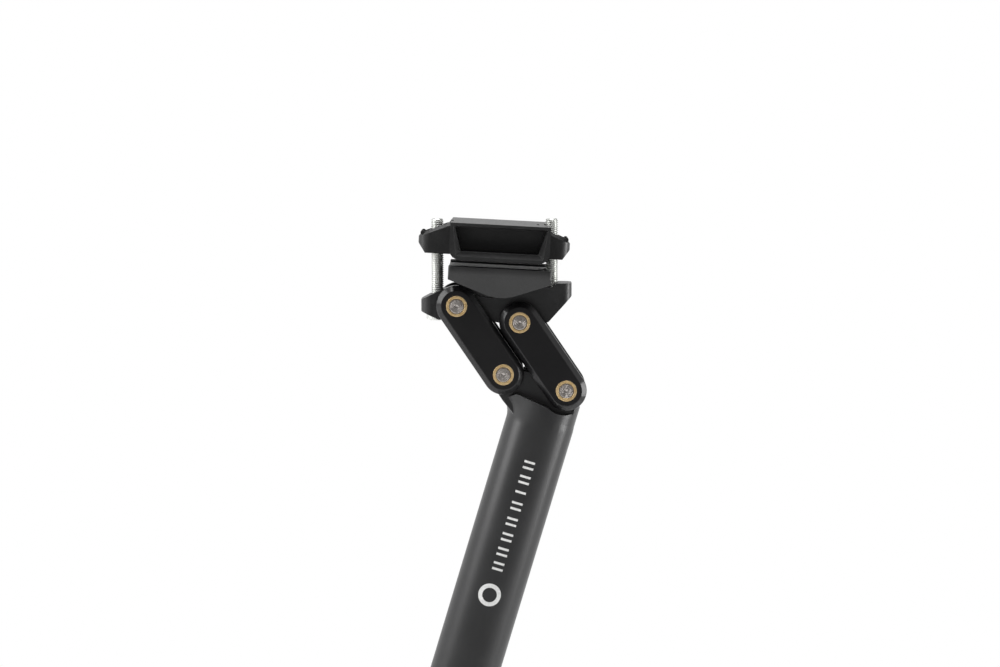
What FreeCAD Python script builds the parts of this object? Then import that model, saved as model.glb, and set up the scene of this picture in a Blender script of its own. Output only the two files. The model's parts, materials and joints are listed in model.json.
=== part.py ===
import FreeCAD, Part
import os
import Sketcher

# Two-position linkage seatpost, in millimetres.
# Frame: origin at the centre of the post's lower end, +Z up the post, +X to the rear, +Y to the right.
# Three more frames are used by single parts, each turned forwards about the Y axis:
#   link frame   origin at a link's lower pivot, +Z along the link, +X on its rear side
#   head frame   origin at the front upper pivot, +X level when the post stands in a bicycle
#   clamp frame  origin between the two saddle rails, +X along the rails

SIZES = {
    # post
    "post_diameter": 27.2,
    "post_wall": 2.2,
    "bore_depth": 284.0,
    "shaft_top": 304.0,
    "bend_start": 292.0,
    "neck_step": 0.2,
    "bend_inner": 8.0,
    "bend_angle": 52.0,
    "cheek_half": 8.0,
    "cheek_rise": 3.0,
    "boss_radius": 6.5,
    "front_recess": 9.2,
    "rear_recess": 9.9,
    # linkage
    "saddle_angle": 16.7,
    "rear_pivot_x": 5.6,
    "rear_pivot_z": 309.65,
    "pivot_base": 25.5,
    "base_tilt": 2.2,
    "link_length": 32.5,
    "link_lean": 50.9,
    "plate_radius": 8.05,
    "plate_inner": 8.4,
    "plate_outer": 13.7,
    "plate_bevel": 2.0,
    "web_start": 8.0,
    "front_web_end": 18.0,
    "web_front": 2.6,
    "web_rear": 7.0,
    # pivots
    "axle_radius": 3.0,
    "axle_chamfer": 0.4,
    "bush_bore": 3.05,
    "bush_radius": 4.1,
    "thrust_bore": 3.1,
    "thrust_radius": 6.0,
    "thrust_thickness": 0.3,
    "thrust_start": 8.05,
    "grub_radius": 2.0,
    "grub_hole": 2.05,
    "grub_length": 3.2,
    # stop bumper on the post head
    "bumper_start": 7.4,
    "bumper_end": 17.3,
    "bumper_height": 4.3,
    "bumper_half": 7.0,
    # saddle head, in the head frame
    "head_nose": 14.1,
    "head_nose_low": 2.45,
    "head_nose_high": 2.15,
    "head_belly_x": 7.1,
    "head_belly_z": 5.75,
    "head_arch_x": 4.5,
    "head_arch_z": 3.75,
    "head_tail": 7.8,
    "head_tail_low": 3.56,
    "head_tail_high": 8.6,
    "head_top": 7.05,
    "head_step": 5.45,
    # saddle clamp, in the clamp frame
    "rail_offset_x": 17.06,
    "rail_offset_z": 16.59,
    "rail_radius": 3.5,
    "rail_half_gap": 22.0,
    "rail_tilt": 3.0,
    "wing_inner": 18.0,
    "wing_outer": 26.0,
    "clamp_half_length": 20.0,
    "seat_radius": 23.7,
    "keel_radius": 23.45,
    "keel_half": 13.0,
    "tilt_axis_height": 9.87,
    "tilt_axis_x": -2.78,
    "cradle_top": -1.25,
    "cradle_front_base": 6.3,
    "cradle_rear_base": 6.6,
    "cradle_shoulder": 11.9,
    "cradle_point": 12.55,
    "cradle_plate_top": 2.0,
    "cradle_plate_bottom": 5.0,
    "band_bottom": 3.75,
    "wing_lean": 2.6,
    "notch_start": 15.2,
    "notch_half": 3.3,
    "lip_bottom": 1.5,
    "window_floor": 4.8,
    "mouth_floor": 2.8,
    "mouth_depth": 2.6,
    "mouth_flare": 35.0,
    "core_half": 12.0,
    "slot_half": 3.5,
    "lug_bottom": 2.5,
    "lug_corner": 6.4,
    "rib_radius": 0.95,
    "clamp_top": 15.7,
    "lug_half": 7.2,
    "lug_slope": 22.0,
    "lug_roof": 2.95,
    "nut_pocket": 5.2,
    "nut_radius": 5.0,
    "nut_half": 5.2,
    # clamp bolts
    "bolt_radius": 2.5,
    "bolt_hole": 2.75,
    "bolt_head_radius": 4.25,
    "bolt_head_height": 5.0,
    "front_bolt_length": 35.0,
    "rear_bolt_length": 30.0,
    "front_bolt_x": -7.8,
    "bolt_spacing": 45.2,
    "bolt_tip": 33.79,
    "hex_corner": 2.31,
    "hex_depth": 2.8,
    "bolt_washer_radius": 4.4,
    "bolt_washer_thickness": 1.0,
    "counterbore": 4.55,
}

doc = FreeCAD.newDocument("linkage_seatpost")
sheet = doc.addObject("Spreadsheet::Sheet", "Dims")
for row, (alias, value) in enumerate(SIZES.items(), start=1):
    sheet.set(f"A{row}", alias)
    sheet.set(f"B{row}", str(value))
    sheet.setAlias(f"B{row}", alias)
doc.recompute()

FRONT_LOWER = (
    "(Dims.rear_pivot_x - Dims.pivot_base * cos(Dims.base_tilt * 1deg))",
    "(Dims.rear_pivot_z - Dims.pivot_base * sin(Dims.base_tilt * 1deg))",
)
REAR_LOWER = ("Dims.rear_pivot_x", "Dims.rear_pivot_z")
LINK_STEP = (
    "Dims.link_length * sin(Dims.link_lean * 1deg)",
    "Dims.link_length * cos(Dims.link_lean * 1deg)",
)
FRONT_UPPER = (f"({FRONT_LOWER[0]} - {LINK_STEP[0]})", f"({FRONT_LOWER[1]} + {LINK_STEP[1]})")
REAR_UPPER = (f"({REAR_LOWER[0]} - {LINK_STEP[0]})", f"({REAR_LOWER[1]} + {LINK_STEP[1]})")
PIVOTS = {
    "front_lower": FRONT_LOWER,
    "rear_lower": REAR_LOWER,
    "front_upper": FRONT_UPPER,
    "rear_upper": REAR_UPPER,
}
# The rear upper pivot seen in the head frame.
HEAD_REAR_PIVOT = (
    "Dims.pivot_base * cos((Dims.saddle_angle - Dims.base_tilt) * 1deg)",
    "-Dims.pivot_base * sin((Dims.saddle_angle - Dims.base_tilt) * 1deg)",
)
SADDLE_TURN = "Dims.saddle_angle * 1deg"
RAIL_TURN = "(Dims.saddle_angle - Dims.rail_tilt) * 1deg"
REAR_BOLT_X = "(Dims.front_bolt_x + Dims.bolt_spacing)"
# The clamp's tilt axis in the head frame, level with the two barrel nuts.
TILT_AXIS = ("(Dims.front_bolt_x + Dims.bolt_spacing / 2)", "(Dims.rail_offset_z + 10)")


def in_turned_frame(origin, turn, point):
    """Model X and Z, as expressions, of a point given in a frame turned forwards about Y."""
    east = f"({origin[0]} + ({point[0]}) * cos({turn}) - ({point[1]}) * sin({turn}))"
    north = f"({origin[1]} + ({point[0]}) * sin({turn}) + ({point[1]}) * cos({turn}))"
    return east, north


RAIL_CENTRE = in_turned_frame(FRONT_UPPER, SADDLE_TURN, ("Dims.rail_offset_x", "Dims.rail_offset_z"))


def value_of(expression):
    return float(sheet.evalExpression(str(expression)))


def place(thing, origin, turn=None, side="0"):
    """Bind a placement: the origin in the XZ plane, the side offset in Y and a turn about -Y."""
    if turn is not None:
        thing.Placement = FreeCAD.Placement(
            FreeCAD.Vector(0, 0, 0), FreeCAD.Rotation(FreeCAD.Vector(0, -1, 0), 10)
        )
        thing.setExpression("Placement.Rotation.Angle", turn)
    thing.setExpression("Placement.Base.x", origin[0])
    thing.setExpression("Placement.Base.y", side)
    thing.setExpression("Placement.Base.z", origin[1])


def new_body(label, origin=("0", "0"), turn=None):
    body = doc.addObject("PartDesign::Body", label)
    body.Label = label
    place(body, origin, turn)
    return body


def new_sketch(body, role, offset="0"):
    """A sketch on one of the body's own origin planes, moved along that plane's normal."""
    sketch = body.newObject("Sketcher::SketchObject", f"{body.Label}_sketch")
    plane = next(f for f in body.Origin.OriginFeatures if f.Role == role)
    sketch.AttachmentSupport = [(plane, "")]
    sketch.MapMode = "FlatFace"
    sketch.setExpression("AttachmentOffset.Base.z", offset)
    return sketch


def fix_point(sketch, geometry, position, x, y):
    """Hold a sketch point at two expressions."""
    for kind, expression in (("DistanceX", x), ("DistanceY", y)):
        index = sketch.addConstraint(
            Sketcher.Constraint(kind, -1, 1, geometry, position, value_of(expression))
        )
        sketch.setExpression(f"Constraints[{index}]", str(expression))


def draw_circle(sketch, x, y, radius):
    centre = FreeCAD.Vector(value_of(x), value_of(y), 0)
    circle = Part.Circle(centre, FreeCAD.Vector(0, 0, 1), value_of(radius))
    geometry = sketch.addGeometry(circle, False)
    fix_point(sketch, geometry, 3, x, y)
    index = sketch.addConstraint(Sketcher.Constraint("Radius", geometry, value_of(radius)))
    sketch.setExpression(f"Constraints[{index}]", str(radius))


def draw_outline(sketch, corners):
    """A closed outline of straight edges through corners given as pairs of expressions."""
    points = [FreeCAD.Vector(value_of(x), value_of(y), 0) for x, y in corners]
    count = len(points)
    edges = [
        sketch.addGeometry(Part.LineSegment(points[i], points[(i + 1) % count]), False)
        for i in range(count)
    ]
    for i, (x, y) in enumerate(corners):
        sketch.addConstraint(Sketcher.Constraint("Coincident", edges[i - 1], 2, edges[i], 1))
        fix_point(sketch, edges[i], 1, x, y)


def draw_box(sketch, left, bottom, right, top):
    draw_outline(sketch, [(left, bottom), (right, bottom), (right, top), (left, top)])


def extrude(body, sketch, kind, length, both_ways=False, reverse=False):
    """Pad or Pocket a sketch by a bound length."""
    feature = body.newObject(f"PartDesign::{kind}", f"{body.Label}_{kind.lower()}")
    feature.Profile = sketch
    feature.Midplane = both_ways
    feature.Reversed = reverse
    feature.setExpression("Length", length)
    sketch.Visibility = False
    doc.recompute()
    return feature


def pad(body, sketch, length, both_ways=True):
    return extrude(body, sketch, "Pad", length, both_ways)


def pocket(body, sketch, length, both_ways=True, reverse=False):
    before = body.Shape.Volume
    feature = extrude(body, sketch, "Pocket", length, both_ways, reverse)
    if feature.Shape.Volume >= before - 0.01:
        raise ValueError(f"a pocket in {body.Label} cuts nothing")
    return feature


def dress(body, kind, size, wanted):
    """Fillet or Chamfer every edge of the tip that the test accepts."""
    base = body.Tip
    names = [f"Edge{i}" for i, edge in enumerate(base.Shape.Edges, start=1) if wanted(edge)]
    if not names:
        raise ValueError(f"no edge of {body.Label} matches")
    feature = body.newObject(f"PartDesign::{kind}", f"{body.Label}_{kind.lower()}")
    feature.Base = (base, names)
    feature.setExpression("Radius" if kind == "Fillet" else "Size", size)
    doc.recompute()
    return feature


def runs_along(edge, axis):
    """True for a straight edge parallel to an axis: 0 for X, 1 for Y, 2 for Z."""
    if len(edge.Vertexes) != 2 or edge.Curve.TypeId != "Part::GeomLine":
        return False
    return abs(abs(edge.Curve.Direction[axis]) - 1) < 1e-6


def is_slanted(edge):
    """True for a straight edge that climbs or falls from front to rear."""
    if len(edge.Vertexes) != 2 or edge.Curve.TypeId != "Part::GeomLine":
        return False
    direction = edge.Curve.Direction
    return abs(direction[0]) > 0.1 and abs(direction[2]) > 0.1


def near(edge, axis, position, tolerance=0.02):
    """True when the whole edge lies at one coordinate."""
    return all(abs(vertex.Point[axis] - position) < tolerance for vertex in edge.Vertexes)


def make_post():
    body = new_body("post")
    radius = "Dims.post_diameter / 2"
    shaft = new_sketch(body, "XY_Plane")
    draw_circle(shaft, "0", "0", radius)
    pad(body, shaft, "Dims.bend_start", both_ways=False)
    neck = new_sketch(body, "XY_Plane", "Dims.bend_start")
    draw_circle(neck, "0", "0", f"{radius} - Dims.neck_step")
    pad(body, neck, "Dims.shaft_top - Dims.bend_start", both_ways=False)

    # The round shaft also bends forwards, to carry the front pivot; the bend's centre line is an arc
    # about a line across the bicycle, and its top is trimmed level with the head.
    bend = new_sketch(body, "XY_Plane", "Dims.bend_start")
    draw_circle(bend, "0", "0", radius)
    centre = value_of("-Dims.bend_inner - Dims.post_diameter / 2")
    hinge = Part.LineSegment(FreeCAD.Vector(centre, -20, 0), FreeCAD.Vector(centre, 20, 0))
    line = bend.addGeometry(hinge, True)
    fix_point(bend, line, 1, "-Dims.bend_inner - Dims.post_diameter / 2", "-20")
    fix_point(bend, line, 2, "-Dims.bend_inner - Dims.post_diameter / 2", "20")
    turned = body.newObject("PartDesign::Revolution", "post_bend")
    turned.Profile = bend
    turned.ReferenceAxis = (bend, ["Axis0"])
    turned.setExpression("Angle", "Dims.bend_angle")
    turned.Reversed = True
    doc.recompute()

    top_front = (FRONT_LOWER[0], f"{FRONT_LOWER[1]} + Dims.cheek_rise")
    top_rear = (REAR_LOWER[0], f"{REAR_LOWER[1]} + Dims.cheek_rise")
    trim = new_sketch(body, "XZ_Plane")
    draw_outline(
        trim,
        [
            (f"{top_front[0]} - 20", top_front[1]),
            top_front,
            top_rear,
            (f"{REAR_LOWER[0]} + 3", f"{REAR_LOWER[1]} - 3"),
            (f"{REAR_LOWER[0]} + 12", f"{REAR_LOWER[1]} - 5"),
            (f"{REAR_LOWER[0]} + 12", "Dims.rear_pivot_z + 60"),
            (f"{top_front[0]} - 20", "Dims.rear_pivot_z + 60"),
        ],
    )
    pocket(body, trim, "80")
    cheeks = new_sketch(body, "XZ_Plane")
    draw_outline(
        cheeks,
        [
            ("-8", "Dims.bend_start"),
            ("8", "Dims.bend_start"),
            (f"{REAR_LOWER[0]} + 6.0", f"{REAR_LOWER[1]} - 6"),
            (f"{REAR_LOWER[0]} + 6.4", f"{REAR_LOWER[1]} - 1"),
            top_rear,
            top_front,
            (f"{FRONT_LOWER[0]} - 5.6", f"{FRONT_LOWER[1]} - 3.3"),
            ("-Dims.post_diameter / 2 - 3.6", "Dims.bend_start + 6.4"),
        ],
    )
    pad(body, cheeks, "2 * Dims.cheek_half")
    for x, z in (FRONT_LOWER, REAR_LOWER):
        boss = new_sketch(body, "XZ_Plane")
        draw_circle(boss, x, z, "Dims.boss_radius")
        pad(body, boss, "2 * Dims.cheek_half")

    # Room for the link plates on each side of the head.
    eyes = ((FRONT_LOWER, "Dims.front_recess"), (REAR_LOWER, "Dims.rear_recess"))
    for side, reverse in (("Dims.cheek_half", False), ("-Dims.cheek_half", True)):
        for (x, z), recess_radius in eyes:
            recess = new_sketch(body, "XZ_Plane", f"-({side})")
            draw_circle(recess, x, z, recess_radius)
            pocket(body, recess, "12", both_ways=False, reverse=reverse)
        floor = new_sketch(body, "XZ_Plane", f"-({side})")
        draw_outline(
            floor,
            [
                (f"{FRONT_LOWER[0]} - 12", FRONT_LOWER[1]),
                FRONT_LOWER,
                (f"{FRONT_LOWER[0]} + 6.6", f"{FRONT_LOWER[1]} - 5.8"),
                (f"{REAR_LOWER[0]} - 4.8", f"{REAR_LOWER[1]} - 8.6"),
                REAR_LOWER,
                (f"{REAR_LOWER[0]} + 12", REAR_LOWER[1]),
                (f"{REAR_LOWER[0]} + 12", f"{REAR_LOWER[1]} + 12"),
                (f"{FRONT_LOWER[0]} - 12", f"{FRONT_LOWER[1]} + 12"),
            ],
        )
        pocket(body, floor, "12", both_ways=False, reverse=reverse)

    axles = new_sketch(body, "XZ_Plane")
    for x, z in (FRONT_LOWER, REAR_LOWER):
        draw_circle(axles, x, z, "Dims.axle_radius")
    pocket(body, axles, "40")
    grubs = new_sketch(body, "XY_Plane", "Dims.rear_pivot_z")
    for x, z in (FRONT_LOWER, REAR_LOWER):
        draw_circle(grubs, x, "0", "Dims.grub_hole")
    pocket(body, grubs, "12", both_ways=False, reverse=True)

    bore = new_sketch(body, "XY_Plane")
    draw_circle(bore, "0", "0", "Dims.post_diameter / 2 - Dims.post_wall")
    pocket(body, bore, "Dims.bore_depth", both_ways=False, reverse=True)
    shaft_radius = value_of(radius)
    dress(body, "Chamfer", "0.6", lambda edge: near(edge, 2, 0) and edge.Curve.Radius < shaft_radius - 1)


def make_link(label, pivot, web_end, web_rear):
    """A one-piece link: two plates with round eyes, joined by a web between them."""
    body = new_body(label, pivot, "Dims.link_lean * 1deg")
    width = "2 * Dims.plate_outer"
    shank = new_sketch(body, "XZ_Plane")
    draw_box(shank, "-Dims.plate_radius", "0", "Dims.plate_radius", "Dims.link_length")
    pad(body, shank, width)
    for z in ("0", "Dims.link_length"):
        eye = new_sketch(body, "XZ_Plane")
        draw_circle(eye, "0", z, "Dims.plate_radius")
        pad(body, eye, width)
    outer = value_of("Dims.plate_outer")
    dress(body, "Chamfer", "Dims.plate_bevel", lambda edge: near(edge, 1, outer) or near(edge, 1, -outer))
    gap = new_sketch(body, "XZ_Plane")
    draw_box(gap, "-20", "-20", "20", "Dims.link_length + 20")
    draw_box(gap, "-Dims.web_front", "Dims.web_start", web_rear, web_end)
    pocket(body, gap, "2 * Dims.plate_inner")
    bores = new_sketch(body, "XZ_Plane")
    draw_circle(bores, "0", "0", "Dims.bush_radius")
    draw_circle(bores, "0", "Dims.link_length", "Dims.bush_radius")
    pocket(body, bores, "40")


def cylinder(name, pivot, radius, start, length):
    """A cylinder along Y whose near end is at start."""
    item = doc.addObject("Part::Cylinder", name)
    item.Placement = FreeCAD.Placement(
        FreeCAD.Vector(0, 0, 0), FreeCAD.Rotation(FreeCAD.Vector(1, 0, 0), -90)
    )
    item.setExpression("Radius", radius)
    item.setExpression("Height", length)
    item.setExpression("Placement.Base.x", pivot[0])
    item.setExpression("Placement.Base.y", start)
    item.setExpression("Placement.Base.z", pivot[1])
    return item


def make_group(label, members):
    group = doc.addObject("Part::Compound", label)
    group.Label = label
    group.Links = members
    return group


def make_ring_pair(label, pivot, outer, inner, start, length):
    """Two equal rings on one axle, one on each side."""
    rings = []
    for side, begin in (("right", start), ("left", f"-({start}) - ({length})")):
        ring = doc.addObject("Part::Cut", f"{label}_{side}")
        ring.Base = cylinder(f"{label}_{side}_outer", pivot, outer, begin, length)
        ring.Tool = cylinder(f"{label}_{side}_inner", pivot, inner, begin, length)
        rings.append(ring)
    make_group(label, rings)


def make_axle(label, pivot):
    pin = cylinder(f"{label}_pin", pivot, "Dims.axle_radius", "-Dims.plate_outer", "2 * Dims.plate_outer")
    doc.recompute()
    axle = doc.addObject("Part::Chamfer", label)
    axle.Label = label
    axle.Base = pin
    size = value_of("Dims.axle_chamfer")
    rims = [i for i, edge in enumerate(pin.Shape.Edges, start=1) if edge.Curve.TypeId == "Part::GeomCircle"]
    axle.Edges = [(i, size, size) for i in rims]


def make_grub_pair(label, places, turn, direction):
    """Two headless screws with hexagon sockets, each ending on its axle."""
    screws = []
    for number, (x, z) in enumerate(places, start=1):
        shank = doc.addObject("Part::Cylinder", f"{label}_{number}_shank")
        shank.setExpression("Radius", "Dims.grub_radius")
        shank.setExpression("Height", "Dims.grub_length")
        socket = doc.addObject("Part::Prism", f"{label}_{number}_socket")
        socket.Polygon = 6
        socket.setExpression("Circumradius", "Dims.grub_radius * 0.55")
        socket.Height = 1.8
        socket.setExpression("Placement.Base.z", "Dims.grub_length - 1.6")
        screw = doc.addObject("Part::Cut", f"{label}_{number}")
        screw.Base = shank
        screw.Tool = socket
        flip = FreeCAD.Rotation(FreeCAD.Vector(0, -1, 0), turn + (0 if direction > 0 else 180))
        screw.Placement = FreeCAD.Placement(FreeCAD.Vector(0, 0, 0), flip)
        screw.setExpression("Placement.Base.x", x)
        screw.setExpression("Placement.Base.z", z)
        screws.append(screw)
    make_group(label, screws)


def make_bumper():
    """A roof-shaped rubber block between the two lower pivots that both links come to rest on."""
    body = new_body("stop_bumper", FRONT_LOWER, "Dims.base_tilt * 1deg")
    roof = new_sketch(body, "XZ_Plane")
    ridge = "(Dims.bumper_start + Dims.bumper_end) / 2"
    draw_outline(
        roof,
        [
            ("Dims.bumper_start", "Dims.cheek_rise"),
            ("Dims.bumper_end", "Dims.cheek_rise"),
            (f"{ridge} + 0.6", "Dims.cheek_rise + Dims.bumper_height - 0.2"),
            (f"{ridge} - 0.6", "Dims.cheek_rise + Dims.bumper_height - 0.2"),
        ],
    )
    pad(body, roof, "2 * Dims.bumper_half")


def make_head():
    body = new_body("saddle_head", FRONT_UPPER, SADDLE_TURN)
    rear_x, rear_z = HEAD_REAR_PIVOT
    side = new_sketch(body, "XZ_Plane")
    draw_outline(
        side,
        [
            ("-Dims.head_nose", "-Dims.head_nose_low"),
            ("-Dims.head_belly_x", "-Dims.head_belly_z"),
            ("Dims.head_arch_x", "-Dims.head_arch_z"),
            (f"{rear_x} - 4.5", f"{rear_z} - 1.45"),
            (f"{rear_x} + 5.4", f"{rear_z} - 2.8"),
            (f"{REAR_BOLT_X} - 1.3", "-6.5"),
            (f"{REAR_BOLT_X} + Dims.head_tail", "Dims.head_tail_low"),
            (f"{REAR_BOLT_X} + Dims.head_tail", "Dims.head_tail_high"),
            (f"{REAR_BOLT_X} + 1.0", "Dims.head_tail_high"),
            (f"{REAR_BOLT_X} + 0.2", "Dims.head_top"),
            ("-1.1", "Dims.head_top"),
            ("-7.5", "Dims.head_step"),
            ("-Dims.head_nose", "Dims.head_nose_high"),
        ],
    )
    pad(body, side, "2 * Dims.cheek_half")
    front_end = -SIZES["head_nose"]
    rear_end = value_of(f"{REAR_BOLT_X} + Dims.head_tail")
    dress(
        body,
        "Fillet",
        "4",
        lambda edge: runs_along(edge, 2) and (near(edge, 0, front_end) or near(edge, 0, rear_end)),
    )
    for x, z in (("0", "0"), HEAD_REAR_PIVOT):
        boss = new_sketch(body, "XZ_Plane")
        draw_circle(boss, x, z, "Dims.boss_radius")
        pad(body, boss, "2 * Dims.cheek_half")
    seat = new_sketch(body, "XZ_Plane")
    draw_circle(seat, TILT_AXIS[0], TILT_AXIS[1], "Dims.seat_radius")
    pocket(body, seat, "40")
    axles = new_sketch(body, "XZ_Plane")
    draw_circle(axles, "0", "0", "Dims.axle_radius")
    draw_circle(axles, rear_x, rear_z, "Dims.axle_radius")
    pocket(body, axles, "40")
    holes = new_sketch(body, "XY_Plane")
    for x in ("Dims.front_bolt_x", REAR_BOLT_X):
        draw_circle(holes, x, "0", "Dims.bolt_hole")
    pocket(body, holes, "60")
    bolts = (("Dims.front_bolt_x", "Dims.front_bolt_length"), (REAR_BOLT_X, "Dims.rear_bolt_length"))
    for x, length in bolts:
        mouth = new_sketch(body, "XY_Plane", f"Dims.bolt_tip - {length} + Dims.bolt_washer_thickness")
        draw_circle(mouth, x, "0", "Dims.counterbore")
        pocket(body, mouth, "20", both_ways=False)
    for x, z in (("0", "0"), HEAD_REAR_PIVOT):
        grub = new_sketch(body, "XY_Plane", z)
        draw_circle(grub, x, "0", "Dims.grub_hole")
        pocket(body, grub, "12", both_ways=False)


def make_bolt(label, x, length):
    """Socket-head bolt, head down, with its bearing face at the origin of its own frame."""
    seat = f"(Dims.bolt_tip - {length})"
    body = new_body(label, in_turned_frame(FRONT_UPPER, SADDLE_TURN, (x, seat)), SADDLE_TURN)
    side = new_sketch(body, "XZ_Plane")
    draw_outline(
        side,
        [
            ("0", "-Dims.bolt_head_height"),
            ("Dims.bolt_head_radius - 0.5", "-Dims.bolt_head_height"),
            ("Dims.bolt_head_radius", "0.5 - Dims.bolt_head_height"),
            ("Dims.bolt_head_radius", "0"),
            ("Dims.bolt_radius", "0"),
            ("Dims.bolt_radius", f"{length} - 0.5"),
            ("Dims.bolt_radius - 0.5", length),
            ("0", length),
        ],
    )
    turned = body.newObject("PartDesign::Revolution", f"{label}_turned")
    turned.Profile = side
    turned.ReferenceAxis = (side, ["V_Axis"])
    turned.Angle = 360
    doc.recompute()
    socket = new_sketch(body, "XY_Plane", "-Dims.bolt_head_height")
    draw_outline(
        socket,
        [(f"Dims.hex_corner * cos({60 * k}deg)", f"Dims.hex_corner * sin({60 * k}deg)") for k in range(6)],
    )
    pocket(body, socket, "Dims.hex_depth", both_ways=False, reverse=True)


def make_bolt_washer(label, x, length):
    seat = f"(Dims.bolt_tip - {length})"
    origin = in_turned_frame(FRONT_UPPER, SADDLE_TURN, (x, seat))
    body = new_body(label, origin, SADDLE_TURN)
    ring = new_sketch(body, "XY_Plane")
    draw_circle(ring, "0", "0", "Dims.bolt_washer_radius")
    draw_circle(ring, "0", "0", "Dims.bolt_hole")
    pad(body, ring, "Dims.bolt_washer_thickness", both_ways=False)


def nut_origin(end):
    """Centre of a barrel nut in the clamp frame; end is -1 at the front and 1 at the rear."""
    reach = "Dims.bolt_spacing / 2 / cos(Dims.rail_tilt * 1deg)"
    return f"(Dims.tilt_axis_x + ({end}) * {reach})", "Dims.tilt_axis_height"


def make_nut(label, end):
    """Round-bellied nut lying across the clamp, with its roof cut parallel to the lug's slope."""
    body = new_body(label, in_turned_frame(RAIL_CENTRE, RAIL_TURN, nut_origin(end)), SADDLE_TURN)
    belly = new_sketch(body, "XZ_Plane")
    draw_circle(belly, "0", "0", "Dims.nut_radius")
    pad(body, belly, "2 * Dims.nut_half")
    slope = f"(({end}) * Dims.lug_slope + Dims.rail_tilt) * 1deg"
    level = "(Dims.lug_roof * cos(Dims.lug_slope * 1deg) - 0.4)"

    def on_slope(along, up):
        return (
            f"({along}) * cos({slope}) + ({up}) * sin({slope})",
            f"-({along}) * sin({slope}) + ({up}) * cos({slope})",
        )

    roof = new_sketch(body, "XZ_Plane")
    corners = (("-8", level), ("8", level), ("8", "8"), ("-8", "8"))
    draw_outline(roof, [on_slope(along, up) for along, up in corners])
    pocket(body, roof, "20")
    hole = new_sketch(body, "XY_Plane")
    draw_circle(hole, "0", "0", "Dims.bolt_radius + 0.05")
    pocket(body, hole, "20")


def make_cradle():
    body = new_body("lower_rail_cradle", RAIL_CENTRE, RAIL_TURN)
    half = "Dims.clamp_half_length"
    side = new_sketch(body, "XZ_Plane")
    draw_outline(
        side,
        [
            (f"-{half}", "Dims.cradle_top"),
            (f"-{half}", "-Dims.cradle_front_base"),
            ("-4.5", "-Dims.cradle_shoulder"),
            ("-1.4", "-Dims.cradle_point"),
            ("2.4", "-Dims.cradle_point"),
            ("5.5", "-Dims.cradle_shoulder"),
            (half, "-Dims.cradle_rear_base"),
            (half, "Dims.cradle_top"),
        ],
    )
    pad(body, side, "2 * Dims.wing_outer")
    dress(body, "Fillet", "0.9", lambda edge: runs_along(edge, 2))
    middle = new_sketch(body, "XZ_Plane")
    draw_box(middle, "-30", "-20", "30", "-Dims.cradle_plate_bottom")
    pocket(body, middle, "2 * Dims.wing_inner")
    top = new_sketch(body, "XZ_Plane")
    draw_box(top, "-30", "-Dims.cradle_plate_top", "30", "4")
    pocket(body, top, "2 * Dims.wing_inner")
    keel = new_sketch(body, "XZ_Plane")
    draw_box(
        keel,
        "Dims.tilt_axis_x - Dims.keel_half",
        "Dims.tilt_axis_height - Dims.keel_radius - 0.5",
        "Dims.tilt_axis_x + Dims.keel_half",
        "-4",
    )
    pad(body, keel, "2 * Dims.cheek_half - 0.4")
    rounding = new_sketch(body, "XZ_Plane")
    draw_box(rounding, "-30", "-20", "30", "Dims.tilt_axis_height + 25")
    draw_circle(rounding, "Dims.tilt_axis_x", "Dims.tilt_axis_height", "Dims.keel_radius")
    pocket(body, rounding, "2 * Dims.cheek_half")
    grooves = new_sketch(body, "YZ_Plane")
    for y in ("Dims.rail_half_gap", "-Dims.rail_half_gap"):
        draw_circle(grooves, y, "0", "Dims.rail_radius")
    pocket(body, grooves, "60")
    # The outer faces lean in towards the bottom below a straight upper band.
    draft = new_sketch(body, "YZ_Plane")
    for sign in ("", "-"):
        draw_outline(
            draft,
            [
                (f"{sign}(Dims.wing_outer + 1)", "-Dims.band_bottom"),
                (f"{sign}Dims.wing_outer", "-Dims.band_bottom"),
                (f"{sign}(Dims.wing_outer - Dims.wing_lean)", "-13.5"),
                (f"{sign}(Dims.wing_outer + 1)", "-13.5"),
            ],
        )
    pocket(body, draft, "60")
    notch = new_sketch(body, "XY_Plane")
    draw_box(notch, "Dims.notch_start", "-Dims.notch_half", "25", "Dims.notch_half")
    pocket(body, notch, "40")


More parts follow.
